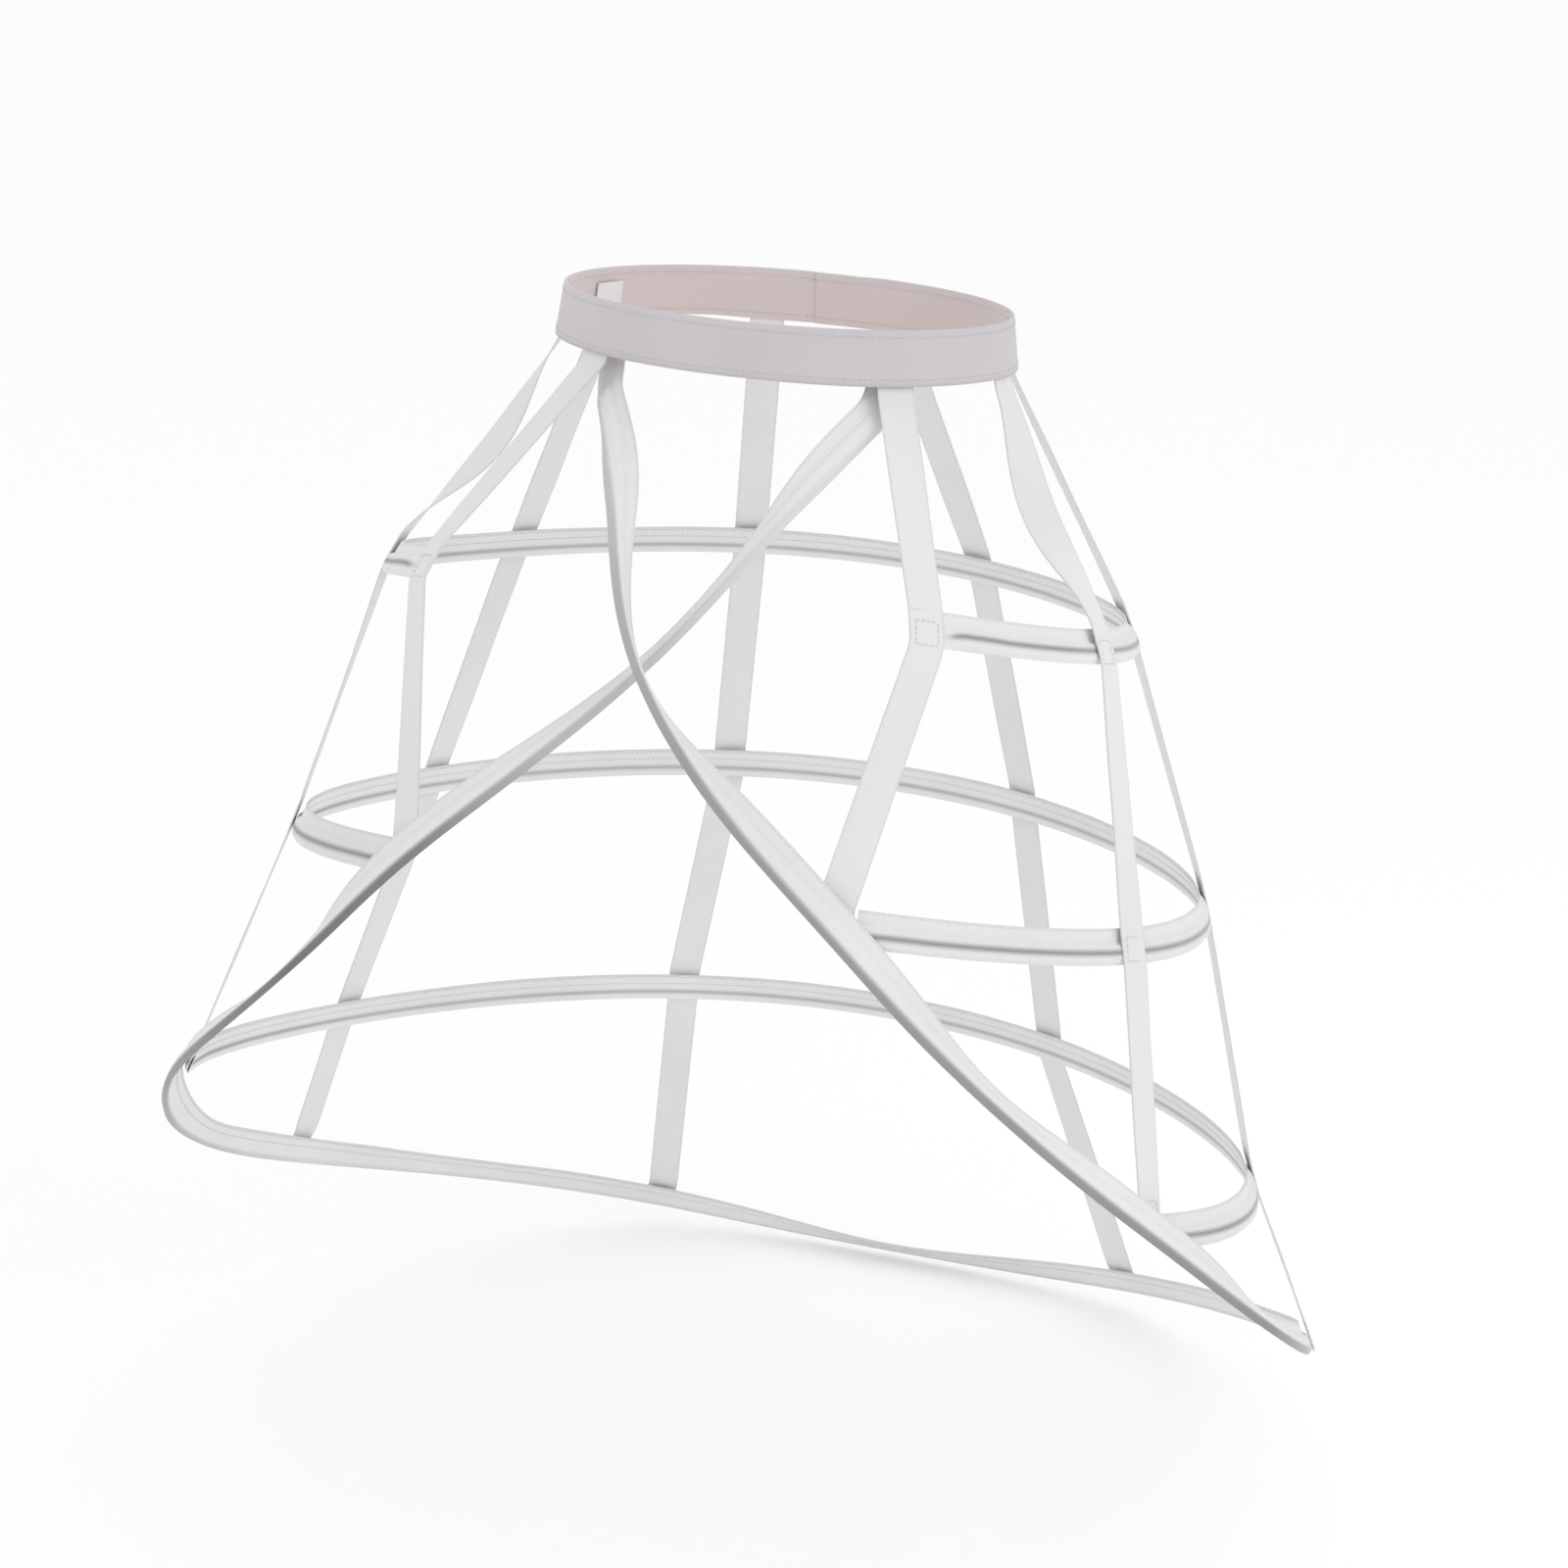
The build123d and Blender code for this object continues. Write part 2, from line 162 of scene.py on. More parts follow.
# %% Find the sharp edges of a CAD strip
KEYS_PER_METRE = 1e5
SHARP_COSINE = math.cos(math.radians(45))
NO_AREA = 1e-12


def welded(label):
    """The separate points of a CAD node, and its triangles as rows of three of them."""
    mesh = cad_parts[label].data
    points = np.empty(len(mesh.vertices) * 3)
    mesh.vertices.foreach_get("co", points)
    points = points.reshape(-1, 3)
    keys = np.round(points * KEYS_PER_METRE)
    _, first, back = np.unique(keys, axis=0, return_index=True, return_inverse=True)
    mesh.calc_loop_triangles()
    corners = np.empty(len(mesh.loop_triangles) * 3, dtype=np.int32)
    mesh.loop_triangles.foreach_get("vertices", corners)
    return points[first], back.ravel()[corners].reshape(-1, 3)


def sharp_edges(spots, faces):
    """For each point on a sharp edge, the points that its sharp edges lead to."""
    a, b, c = (spots[faces[:, k]] for k in range(3))
    normals = np.cross(b - a, c - a)
    normals /= np.maximum(np.linalg.norm(normals, axis=1), NO_AREA)[:, None]
    sides = {}
    for face, normal in zip(faces, normals):
        for start, end in ((0, 1), (1, 2), (2, 0)):
            sides.setdefault(tuple(sorted((face[start], face[end]))), []).append(normal)
    sharp = {}
    for (start, end), pair in sides.items():
        if len(pair) == 2 and pair[0] @ pair[1] < SHARP_COSINE:
            sharp.setdefault(start, []).append(end)
            sharp.setdefault(end, []).append(start)
    return sharp


print("points on the waistband's sharp edges:", len(sharp_edges(*welded("waistband"))))

# %% Follow the corner lines of a CAD strip


def corner_lines(label):
    """The four long corner lines of a CAD strip, as points from one end to the other."""
    spots, faces = welded(label)
    sharp = sharp_edges(spots, faces)
    ends = {spot for spot, near in sharp.items() if len(near) == 3}
    ring = [min(ends, key=lambda spot: (spots[spot][0], spot))]
    while len(ring) < 4:
        ring.append(next(spot for spot in sorted(sharp[ring[-1]])
                         if spot in ends and spot not in ring))
    lines = []
    for corner in ring:
        line = [corner, next(spot for spot in sharp[corner] if spot not in ring)]
        while line[-1] not in ends:
            line.append(next(spot for spot in sharp[line[-1]] if spot != line[-2]))
        lines.append(spots[line])
    first_side = np.linalg.norm(lines[0][0] - lines[1][0])
    if first_side < np.linalg.norm(lines[1][0] - lines[2][0]):
        lines = lines[1:] + lines[:1]
    return lines


print("points on its corner lines:", [len(line) for line in corner_lines("waistband")])

# %% [markdown]
# ## Frames along a strip
#
# A frame says where the middle of the strip is, which way its width runs and which way it faces.
# The corner lines of the CAD are straight between its sections, so the frames are taken at small
# even steps and smoothed a little, as cloth under tension smooths itself. A spline through the
# sections would do too, but it can swing out between sections that lie close together.

# %% Measure and smooth a line of points
STEP = 4 * MM
PAD_SIGMAS = 3


def path_lengths(points):
    """How far along a path each of its points lies."""
    return np.concatenate([[0], np.cumsum(np.linalg.norm(np.diff(points, axis=0), axis=1))])


def at_places(places, lengths, rows):
    """Rows of numbers read between their lengths along a path."""
    return np.stack([np.interp(places, lengths, column) for column in rows.T], axis=1)


def even_points(line, step):
    """Points at even steps along a line of points."""
    lengths = path_lengths(line)
    places = np.linspace(0, lengths[-1], max(2, round(lengths[-1] / step) + 1))
    return at_places(places, lengths, line)


def smoothed(rows, reach):
    """Rows averaged with their neighbours within about reach, ends held where they are."""
    sigma = reach / STEP
    pad = int(PAD_SIGMAS * sigma) + 1
    if sigma <= 0 or len(rows) <= pad:
        return rows
    weights = np.exp(-0.5 * (np.arange(-pad, pad + 1) / sigma)**2)
    weights /= weights.sum()
    before = 2 * rows[0] - rows[pad:0:-1]
    after = 2 * rows[-1] - rows[-2:-pad - 2:-1]
    padded = np.concatenate([before, rows, after])
    return np.stack([np.convolve(column, weights, "valid") for column in padded.T], axis=1)


def kept_round(rows, reach):
    """Smoothed rows that keep the size of their bends, which plain averaging draws inwards."""
    once = smoothed(rows, reach)
    return 2 * once - smoothed(once, reach)


band_line = corner_lines("waistband")[0]
print("the waistband's first corner line is", round(path_lengths(band_line)[-1] / MM), "mm long")

# %% Turn corner lines into smooth frames
FINE_STEPS = 8
FRONT_SHIFT = 25 * MM


def unit(rows):
    """Rows of directions, each brought to length one."""
    return rows / np.linalg.norm(rows, axis=1)[:, None]


def squared(middle, across):
    """Frames with three directions square to each other, facing away from the cage's axis."""
    along = unit(np.gradient(middle, axis=0))
    across = unit(across - along * (across * along).sum(axis=1)[:, None])
    out = np.cross(along, across)
    away = middle * (1, 1, 0) + (0, FRONT_SHIFT, 0)
    if (out * away).sum() < 0:
        out = -out
    return {"middle": middle, "across": across, "out": out}


def strip_frames(label, reach):
    """Middle, width and facing directions along a CAD strip, at even steps."""
    lines = corner_lines(label)
    first = even_points(lines[0], STEP)
    rows = [first]
    for line in lines[1:]:
        fine = even_points(line, STEP / FINE_STEPS)
        nearest = [((fine - spot)**2).sum(axis=1).argmin() for spot in first]
        rows.append(fine[nearest])
    middle = kept_round(sum(rows) / 4, reach)
    across = kept_round(unit(rows[0] + rows[3] - rows[1] - rows[2]), reach)
    return squared(middle, across)


def upward(rows):
    """The same frames with the width direction pointing up."""
    if rows["across"][:, 2].sum() < 0:
        rows["across"] = -rows["across"]
    return rows


def turned_round(rows):
    """The same frames from their last to their first."""
    return {key: value[::-1] for key, value in rows.items()}


def net(rows, ups, outs):
    """Points beside each frame, so far up its width and so far out of its face."""
    return (rows["middle"][:, None] + rows["across"][:, None] * ups[:, :, None]
            + rows["out"][:, None] * outs[:, :, None])


print("frames along the waistband:", len(strip_frames("waistband", 0)["middle"]))

# %% [markdown]
# ## Laying a ribbon
#
# A ribbon starts as a flat grid with its own UV map, made by Add > Grid. Its points are then moved
# so that each column of the grid follows the strip, and Solidify gives it the thickness of the
# cloth. A Curve modifier could bend the grid too, but the ribbon's roll would have to be turned
# into a tilt at every point of the curve. The UV map is rescaled to real metres, so one weave fits
# all ribbons.

# %% Start a flat grid
GRID_SIZE = 2


def flat_grid(name, rows, columns):
    """A flat grid of cloth, with the row and the column that each of its points belongs to."""
    bpy.ops.object.select_all(action="DESELECT")
    bpy.ops.mesh.primitive_grid_add(x_subdivisions=rows - 1, y_subdivisions=columns - 1,
                                    size=GRID_SIZE)
    piece = bpy.context.object
    piece.name = name
    piece.data.name = name
    flat = np.empty(len(piece.data.vertices) * 3)
    piece.data.vertices.foreach_get("co", flat)
    share = flat.reshape(-1, 3) / GRID_SIZE + 0.5
    row = np.rint(share[:, 0] * (rows - 1)).astype(int)
    column = np.rint(share[:, 1] * (columns - 1)).astype(int)
    return piece, row, column


def corner_points(mesh):
    """Which point each face corner of a mesh lies on."""
    point = np.empty(len(mesh.loops), dtype=np.int32)
    mesh.loops.foreach_get("vertex_index", point)
    return point


print("grids are made", GRID_SIZE, "m wide and then laid along their strips")

# %% Lay a grid along a strip
SHARP_EDGE = math.radians(40)


def lay_cloth(name, spots, width_places, length_places, thickness):
    """A sheet through a net of spots, rows along the strip by columns across it."""
    piece, row, column = flat_grid(name, *spots.shape[:2])
    mesh = piece.data
    mesh.vertices.foreach_set("co", spots[row, column].ravel())
    metres = np.stack([length_places[row], width_places[column]], axis=1)
    mesh.uv_layers.active.data.foreach_set("uv", metres[corner_points(mesh)].ravel())
    solid = piece.modifiers.new("cloth", "SOLIDIFY")
    solid.thickness = thickness
    solid.offset = 0
    solid.use_even_offset = True
    bpy.ops.object.modifier_apply(modifier=solid.name)
    bpy.ops.object.mode_set(mode="EDIT")
    bpy.ops.mesh.select_all(action="SELECT")
    bpy.ops.mesh.normals_make_consistent(inside=False)
    bpy.ops.object.mode_set(mode="OBJECT")
    bpy.ops.object.shade_smooth_by_angle(angle=SHARP_EDGE)
    return piece


print("edges sharper than", round(math.degrees(SHARP_EDGE)), "degrees stay sharp")

# %% Mark places on a ribbon
EDGE_REACH = 1.2 * MM


def sheet_places(piece):
    """Where each point of a sheet lies along and across the flat cloth, in metres."""
    mesh = piece.data
    uv = np.empty(len(mesh.loops) * 2)
    mesh.uv_layers.active.data.foreach_get("uv", uv)
    places = np.zeros((len(mesh.vertices), 2))
    places[corner_points(mesh)] = uv.reshape(-1, 2)
    return places.T


def mark(piece, name, values):
    """A number at each point of a piece, for its material to read."""
    layer = piece.data.attributes.new(name, "FLOAT", "POINT")
    layer.data.foreach_set("value", values)


def mark_edges(piece, across):
    """Marks the woven edges of a sheet, where the threads turn back and lie closer."""
    near = np.minimum(across - across.min(), across.max() - across)
    mark(piece, "edge", np.clip(1 - near / EDGE_REACH, 0, 1))


def eased(share):
    """A share between 0 and 1 that starts and stops gently."""
    share = np.clip(share, 0, 1)
    return share * share * (3 - 2 * share)


print("woven edges are", round(EDGE_REACH / MM, 1), "mm wide")

# %% [markdown]
# ## Cloth
#
# The ribbon is a plain white weave. A photograph of cloth could be wrapped on it, but two fine
# waves on the UV map, one along the ribbon and one across it, stand for warp and weft at any size,
# and a slow noise keeps the white from looking painted. A bone shows through its casing as a grey
# stripe, with painted shade added to it, so casings carry an attribute named bone that darkens the
# cloth there.

# %% Build the weave
WAVE_REPEAT = 20 / (2 * math.pi)  # a Wave texture repeats this many times in one unit at scale 1


def node(tree, kind, **inputs):
    """A new shader node with its constant inputs set."""
    made = tree.nodes.new(kind)
    for name, value in inputs.items():
        made.inputs[name.replace("_", " ")].default_value = value
    return made


def weave_height(tree, uv, pitch):
    """A height between 0 and 1 for crossed threads of that pitch."""
    crossed = tree.nodes.new("ShaderNodeMath")
    crossed.operation = "MULTIPLY"
    for slot, direction in enumerate(("X", "Y")):
        wave = node(tree, "ShaderNodeTexWave", Scale=1 / (WAVE_REPEAT * pitch), Distortion=0.0)
        wave.bands_direction = direction
        tree.links.new(uv, wave.inputs["Vector"])
        tree.links.new(wave.outputs["Fac"], crossed.inputs[slot])
    return crossed.outputs[0]


print("a Wave texture repeats", round(WAVE_REPEAT, 2), "times in a metre at scale 1")

# %% Build a cloth
MIX_FROM, MIX_TO, MIX_RESULT = 6, 7, 2  # the colour sockets of a Mix node
THREAD = 0.55 * MM
WORN_SHARE = 0.9


def blended(tree, share, base, tint):
    """A colour that goes from a base, fixed or from another node, towards a tint."""
    mix = tree.nodes.new("ShaderNodeMix")
    mix.data_type = "RGBA"
    if isinstance(base, tuple):
        mix.inputs[MIX_FROM].default_value = (*base, 1)
    else:
        tree.links.new(base, mix.inputs[MIX_FROM])
    mix.inputs[MIX_TO].default_value = (*tint, 1)
    tree.links.new(share, mix.inputs["Factor"])
    return mix.outputs[MIX_RESULT]


def cloth(name, light, shade, bone=None, inside=None, pitch=THREAD):
    """A woven white cloth between two colours, tinted where marked: darker woven edges, and
    painted shade inside the band and over the bones.
    """
    made, body = look(name, Roughness=0.85, Specular_IOR_Level=0.15, Sheen_Weight=0.12,
                      Sheen_Roughness=0.5)
    tree = made.node_tree
    place = tree.nodes.new("ShaderNodeTexCoord")
    height = weave_height(tree, place.outputs["UV"], pitch)
    slow = node(tree, "ShaderNodeTexNoise", Scale=9.0, Detail=3.0, Roughness=0.5)
    tree.links.new(place.outputs["Object"], slow.inputs["Vector"])
    spread = node(tree, "ShaderNodeMapRange", From_Min=0.3, From_Max=0.7, To_Min=0.0, To_Max=0.8)
    tree.links.new(slow.outputs["Fac"], spread.inputs["Value"])
    colour = blended(tree, spread.outputs["Result"], light, shade)
    worn = tuple(WORN_SHARE * channel for channel in shade)
    # The inside tint is painted warm shade; the bone tint is the bone seen through the cloth with
    # painted shade.
    for attribute, tint in (("edge", worn), ("inside", inside), ("bone", bone)):
        if tint is not None:
            share = tree.nodes.new("ShaderNodeAttribute")
            share.attribute_name = attribute
            colour = blended(tree, share.outputs["Fac"], colour, tint)
    tree.links.new(colour, body.inputs["Base Color"])
    bump = node(tree, "ShaderNodeBump", Strength=0.35, Distance=0.0002)
    tree.links.new(height, bump.inputs["Height"])
    tree.links.new(bump.outputs["Normal"], body.inputs["Normal"])
    return made


print("ribbon threads lie", round(THREAD / MM, 2), "mm apart")

# %% Make the four cloths
BAND_THREAD = 0.9 * MM
SEWING_THREAD = 0.3 * MM

tape_cloth = cloth("white_tape", light=(0.765, 0.75, 0.76), shade=(0.71, 0.695, 0.705))
# The bone colour darkens the stripe over a bone: the bone seen through the ribbon, with painted
# shade.
casing_cloth = cloth("white_casing", light=(0.78, 0.77, 0.78), shade=(0.71, 0.70, 0.71),
                     bone=(0.13, 0.13, 0.135))
# The inside colour is painted shade: the band's inner face is tinted warmer and a little darker.
band_cloth = cloth("white_band", light=(0.60, 0.57, 0.59), shade=(0.54, 0.51, 0.53),
                   inside=(0.61, 0.53, 0.525), pitch=BAND_THREAD)
thread_white = cloth("sewing_thread", light=(0.66, 0.65, 0.66), shade=(0.58, 0.57, 0.58),
                     pitch=SEWING_THREAD)
print("materials:", [made.name for made in (tape_cloth, casing_cloth, band_cloth, thread_white)])

# %% [markdown]
# ## Slack in the tapes
#
# A tape is limp between the places where it is sewn. It ripples a little everywhere, which is a
# random wander, smoothed. The front-side tapes hang loose between the waistband and the upper
# hoop, so there they sag inwards and turn their faces to the front. A cloth simulation could find
# such a hang, but the photograph shows just how these two hang, so the turn is given.

# %% Let ribbons wander
SEED = 7
FEWEST_KNOTS, SPARE_KNOTS = 4, 3
rng = np.random.default_rng(SEED)


def ripples(length, wave):
    """A slow wander along a ribbon, between about -1 and 1."""
    knots = rng.normal(size=max(FEWEST_KNOTS, int(length[-1] / wave) + SPARE_KNOTS))
    return np.interp(length, np.linspace(0, length[-1], len(knots)), knots)


def wander(length, waves, reach):
    """Two smooth wanders side by side along a ribbon."""
    return smoothed(np.stack([ripples(length, wave) for wave in waves], axis=1), reach)


print("ribbons wander from seed", SEED)

# %% Turn and sag a loose tape
SLACK_TWIST = math.radians(45)
SLACK_SAG = 8 * MM
SLACK_MARGIN = 16 * MM


def distances(line, other):
    """How far each point of a line lies from each point of another."""
    return np.linalg.norm(line[:, None] - other[None], axis=2)


def slackened(rows):
    """A tape's frames, its first run sagging in a little with its face towards the front."""
    middle, across, out = (rows[key] for key in ("middle", "across", "out"))
    length = path_lengths(middle)
    hoop = strip_frames("upper_hoop_bone", 0)["middle"]
    first = length[(middle[:, 2] < 0).argmax()]
    last = length[distances(middle, hoop).min(axis=1).argmin()] - SLACK_MARGIN
    loose = np.sin(math.pi * np.clip((length - first) / (last - first), 0, 1))**2
    along = np.cross(across, out)
    turn = SLACK_TWIST * loose * np.sign(-along[:, 2] * middle[:, 0])
    cosine, sine = np.cos(turn)[:, None], np.sin(turn)[:, None]
    return {
        "middle": middle - out * (SLACK_SAG * loose)[:, None],
        "across": across * cosine + out * sine,
        "out": out * cosine - across * sine,
    }


print("loose tapes sag", round(SLACK_SAG / MM), "mm and turn",
      round(math.degrees(SLACK_TWIST)), "degrees")

# %% [markdown]
# ## Tapes
#
# Each tape is one flat strap from the inside of the waistband, over the hoops, down to its last
# hoop or to the hem. It is pulled straight between the hoops and only turns at their edges, so a
# light smoothing is enough. The front and front-side tapes end behind the loop, and are cut a
# little short there so that no end shows below it.

# %% Read the tapes
TAPE_ROUNDING = 3.5 * MM
HIDDEN_CUT = 12 * MM
TAPES = ("front", "front_side", "back_side", "back")
SIDES = ("left", "right")

tape_frames = {}
for part in TAPES:
    for side in SIDES:
        label = f"{part}_tape_{side}"
        rows = strip_frames(label, TAPE_ROUNDING)
        if rows["middle"][0][2] < rows["middle"][-1][2]:
            rows = turned_round(rows)
        if part == "front_side":
            rows = slackened(rows)
        if part.startswith("front"):
            rows = {key: value[:-round(HIDDEN_CUT / STEP)] for key, value in rows.items()}
        tape_frames[label] = rows
print("tape lengths in mm:",
      {label: round(path_lengths(rows["middle"])[-1] / MM) for label, rows in tape_frames.items()})

# %% Lay the tapes
TAPE_WIDTH = 20 * MM
TAPE_THICKNESS = 0.8 * MM
TAPE_SHARES = np.array((-0.5, -0.475, -0.44, -0.3, -0.15, 0, 0.15, 0.3, 0.44, 0.475, 0.5))
TAPE_PLACES = TAPE_SHARES * TAPE_WIDTH
TAPE_RIPPLE = 0.6 * MM
TAPE_WAVES, TAPE_WAVE_REACH = (40 * MM, 40 * MM), 14 * MM

for label, rows in tape_frames.items():
    length = path_lengths(rows["middle"])
    cupped, tilted = wander(length, TAPE_WAVES, TAPE_WAVE_REACH).T
    curl = TAPE_RIPPLE * (np.outer(cupped, TAPE_SHARES**2) + np.outer(tilted, TAPE_SHARES))
    spots = net(rows, TAPE_PLACES[None], curl)
    ribbon = lay_cloth(f"{label}_ribbon", spots, TAPE_PLACES, length, TAPE_THICKNESS)
    ribbon.data.materials.append(tape_cloth)
    mark_edges(ribbon, sheet_places(ribbon)[1])
    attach(ribbon, "root")
    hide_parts(label)
print("tapes laid:", len(tape_frames))

# %% [markdown]
# ## Casings
#
# A casing is one ribbon folded along its lower edge. The bone lies in the fold, and a seam above
# it closes the channel, so the section is a flat back, a flange of two layers on top and a ridge
# over the bone. The ridge runs out a little past each end of the bone. The section could be an
# extruded curve, but then the ridge couldn't flatten at its ends, so it is drawn as points that
# swell with the bone.

# %% Draw the folded section
CASING_LAYER = 0.5 * MM
LAYER_GAP = 1.1
RIDGE = 1.85 * MM
RIDGE_HALF_WIDTH = 4.1 * MM
RIDGE_FOOT, FOOT_EASE = 5.6 * MM, 2 * MM
FLANGE_UP, FLANGE_DOWN = 14 * MM, 6 * MM
FOOT_RISE, SHOULDER_RISE, FOLD_RISE = 0.08, 0.8, 0.25
CREST_SHARE = 0.5
FOLD_FRONT, FOLD_BACK = 0.3 * MM, 0.4 * MM
FOLD_STEP = 0.9 * MM


def folded_section(swell):
    """The folded ribbon's middle layer, from its front's upper edge round to its back's."""
    back = CASING_LAYER / 2 - RIDGE
    front = back + CASING_LAYER * LAYER_GAP
    fold = (front + back) / 2
    top = FLANGE_UP - CASING_LAYER / 2
    low = CASING_LAYER / 2 - FLANGE_DOWN
    rise = (RIDGE - CASING_LAYER / 2 - front) * swell
    shoulder, crest = front + rise * SHOULDER_RISE, front + rise
    return np.array([
        (top, front),
        (RIDGE_FOOT + FOOT_EASE, front),
        (RIDGE_FOOT, front + rise * FOOT_RISE),
        (RIDGE_HALF_WIDTH, shoulder),
        (RIDGE_HALF_WIDTH * CREST_SHARE, crest),
        (-RIDGE_HALF_WIDTH * CREST_SHARE, crest),
        (-RIDGE_HALF_WIDTH, shoulder),
        (low + FOLD_FRONT, fold + rise * FOLD_RISE),
        (low, fold),
        (low + FOLD_BACK, back),
        (top, back),
    ])


def section_points(swell, shares):
    """Points of the folded section at shares of its length."""
    corners = folded_section(swell)
    lengths = path_lengths(corners)
    return at_places(shares, lengths / lengths[-1], corners)


SECTION_WIDTH = path_lengths(folded_section(1))[-1]
SHARES = np.linspace(0, 1, round(SECTION_WIDTH / FOLD_STEP) + 1)
SECTION_UPS = section_points(1, SHARES)[:, 0]
print("folded ribbon is", round(SECTION_WIDTH / MM, 1), "mm wide when laid flat, in",
      len(SHARES), "points")

# %% [markdown]
# ## Laying a casing
#
# Hoops and loop are made the same way, so one function lays them all: the folded section at every
# frame, a ripple in the flange, and the bone's grey shadow as a point attribute that the cloth
# material reads. The section swells most round the tips, because their caps are thicker than
# the bone.

# %% Shade and ruffle a casing
LINE_HEIGHT, LINE_SPREAD = 0.6 * MM, 1.2 * MM
EDGE_HEIGHT, EDGE_SPREAD = -0.3 * MM, 3.4 * MM
FLANGE_RIPPLE, FLANGE_SWAY = 0.35 * MM, 0.21 * MM
FLANGE_WAVES, FLANGE_WAVE_REACH = (45 * MM, 70 * MM), 16 * MM
ruffles = {}


def bone_line_and_painted_shade(u):
    """How dark a hoop's bone stripe is painted at a height across it: the bone seen through, with
    painted shade.
    """
    return np.exp(-0.5 * ((u - LINE_HEIGHT) / LINE_SPREAD)**2)


def bone_edge_and_painted_shade(u):
    """How dark the loop's folded edge is painted at a height across it: painted shade over the
    bone.
    """
    return eased((EDGE_HEIGHT - u) / EDGE_SPREAD)


def ruffle(label, u):
    """How far up and how far out a casing's flange strays, at heights across it."""
    rise = np.clip((u - RIDGE_FOOT) / (FLANGE_UP - RIDGE_FOOT), 0, 1)
    outs, ups = ruffles[label].T
    return FLANGE_SWAY * np.outer(ups, rise), FLANGE_RIPPLE * np.outer(outs, rise**2)


print("flanges ripple by about", round(FLANGE_RIPPLE / MM, 2), "mm")

# %% Fold a ribbon over a bone
FLAT_TAPER = 12 * MM
TIP_LENGTH, TIP_SWELL = 16 * MM, 0.28


def lay_casing(label, rows, bone_first, bone_last, shade, stripe):
    """A folded ribbon along frames, ridged between the ends of its bone."""
    length = path_lengths(rows["middle"])
    from_tip = np.minimum(np.abs(length - bone_first), np.abs(bone_last - length))
    swell = eased(np.minimum(length - bone_first, bone_last - length) / FLAT_TAPER + 1)
    swell = swell * (1 + TIP_SWELL * eased(2 - from_tip / TIP_LENGTH))
    ruffles[label] = wander(length, FLANGE_WAVES, FLANGE_WAVE_REACH)
    sections = np.array([section_points(share, SHARES) for share in swell])
    ups, outs = ruffle(label, SECTION_UPS)
    spots = net(rows, sections[:, :, 0] + ups, sections[:, :, 1] + outs)
    piece = lay_cloth(f"{label}_ribbon", spots, SHARES * SECTION_WIDTH, length, CASING_LAYER)
    piece.data.materials.append(casing_cloth)
    along, across = sheet_places(piece)
    height = np.interp(across / SECTION_WIDTH, SHARES, SECTION_UPS)
    # Painted shade: the stripe over the bone is darkened by a shade that varies along the casing,
    # over the bone seen through the cloth.
    dark = np.interp(along, length, shade * np.minimum(swell, 1))
    mark(piece, "bone", stripe(height) * dark)
    mark_edges(piece, across)
    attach(piece, "root")
    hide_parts(f"{label}_casing")


print("ridges flatten over", round(FLAT_TAPER / MM), "mm past a bone")

# %% [markdown]
# ## Hoops
#
# Each hoop is a bone bent to an open ring in its own ribbon. The bone stops short of the ribbon's
# ends, and the ribbon runs on along the same curve, flat, to the place where it is sewn under the
# loop. A straight run would be simpler, but on a ring it would stick out. In the photograph the
# bone shows darker at the front than at the back, so its stripe, the bone seen through the ribbon
# with painted shade, fades with depth.

# %% Run frames past a bone
BEND_STEPS = 12


def run_on(rows, length):
    """Frames continued past both ends on the same curve."""
    ahead_steps = np.arange(1, round(length / STEP) + 1)[:, None]
    for _ in range(2):
        longer = {}
        for key, value in turned_round(rows).items():
            steps = min(BEND_STEPS, len(value) // 3)
            slope = (value[-1] - value[-1 - steps]) / steps
            earlier = (value[-1 - steps] - value[-1 - 2 * steps]) / steps
            bend = (slope - earlier) / steps
            added = (value[-1] + (slope + bend * steps / 2) * ahead_steps
                     + bend * ahead_steps**2 / 2)
            longer[key] = np.concatenate([value, added if key == "middle" else unit(added)])
        rows = longer
    return rows


print("a bone's bend is read over its last", round(2 * BEND_STEPS * STEP / MM), "mm")

# %% Lay the hoops
CASING_ROUNDING = 14 * MM
HOOP_RUN_ONS = {"upper": 29 * MM, "middle": 10 * MM, "lower": 8 * MM}
# Painted shade: the hoops' bone stripe is painted darker at the front than at the back.
HOOP_SHADE, SHADE_DEPTHS = (0.75, 0.5), (-100 * MM, 100 * MM)

casing_frames = {}
for part, reach in HOOP_RUN_ONS.items():
    label = f"{part}_hoop"
    rows = run_on(upward(strip_frames(f"{label}_bone", CASING_ROUNDING)), reach)
    whole = path_lengths(rows["middle"])[-1]
    shade = np.interp(rows["middle"][:, 1], SHADE_DEPTHS, HOOP_SHADE)
    lay_casing(label, rows, reach, whole - reach, shade, bone_line_and_painted_shade)
    casing_frames[label] = rows
    print(label, "ribbon is", round(whole / MM), "mm long")

# %% [markdown]
# ## Crossing loop
#
# The loop's ribbon doesn't stop where its bone does. Its ends turn upwards behind the front tapes
# and are sewn inside the waistband. Their places are read from the top of the CAD casing, and a
# smooth curve leads there that leaves along the bone and arrives straight upwards. Straight lines
# would be simpler, but they would kink the ribbon where the bone ends. The roll of the ribbon is
# eased along its way, and only a little where the bone lies in it, so that the bone stays covered.

# %% Lead an end into the waistband
END_DEPTH = 3 * MM
EXIT_HEIGHT = 3 * MM
PULL_PART = 2.6
HEADING_STEPS = 3
CURVE_POINTS = 40


